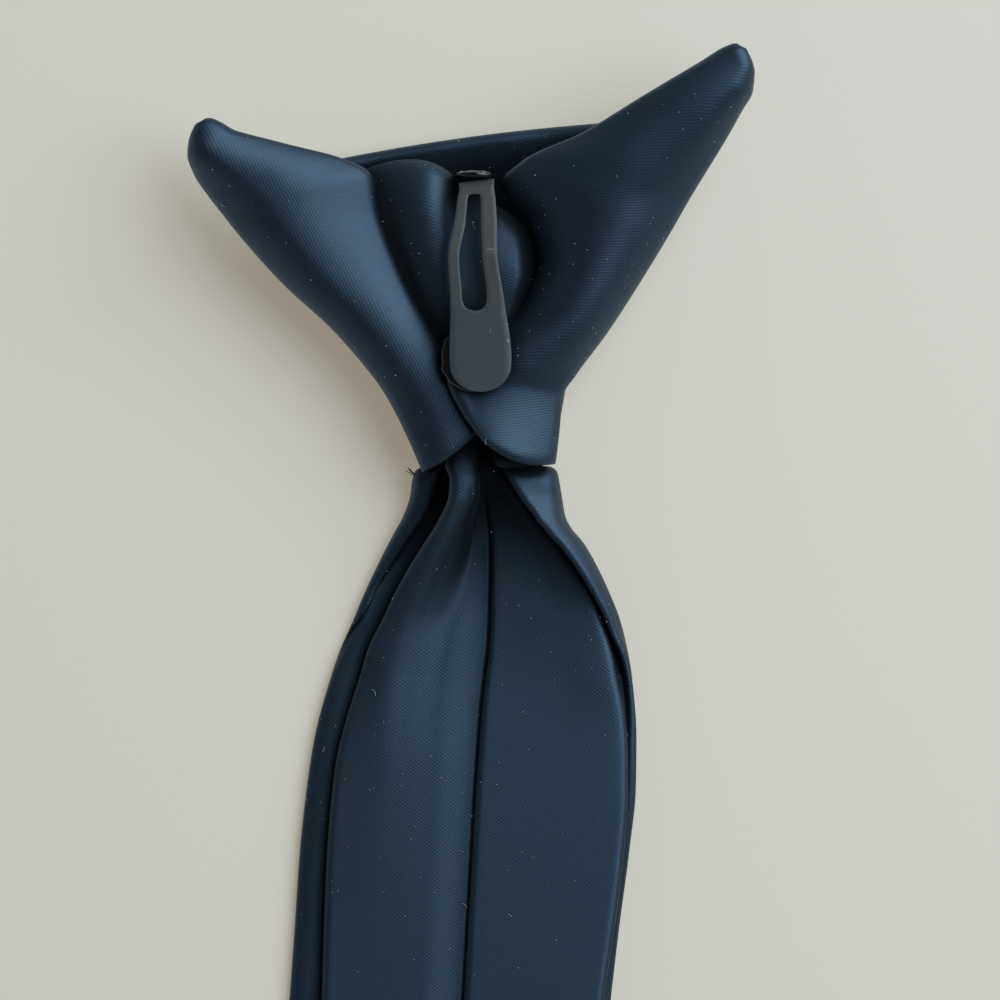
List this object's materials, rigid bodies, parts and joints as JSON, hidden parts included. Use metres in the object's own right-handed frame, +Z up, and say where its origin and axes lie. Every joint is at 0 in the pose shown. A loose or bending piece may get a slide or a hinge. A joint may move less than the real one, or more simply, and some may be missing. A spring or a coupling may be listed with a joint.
{
  "type": "clip-on tie",
  "caption": "Ready-made necktie lying face down: padded knot with two wings, slotted spring clip on its back, wide front blade and a narrower tail.",
  "frame": {"origin": "middle of the outline of the tie as it lies, on the surface it lies on", "axes": "+Y from the point of the blade to the knot, +X across, +Z up through the clip on its back"},
  "size_m": [0.1112, 0.4988, 0.0249],
  "materials": {
    "knot_cloth": "dark navy satin twill, soft sheen",
    "blade_cloth": "dark navy satin twill, soft sheen",
    "clip_steel": "satin grey coating with small chips",
    "clip_plastic": "black, glossy"
  },
  "bodies": {
    "root": {"knot_front": "knot_cloth", "wing_left": "knot_cloth", "wing_right": "knot_cloth", "center_fold": "knot_cloth", "front_blade": "blade_cloth", "tail_blade": "blade_cloth", "clip_leaf": "clip_steel", "clip_lug": "clip_plastic", "clip_pad": "clip_plastic"}
  },
  "joints": []
}
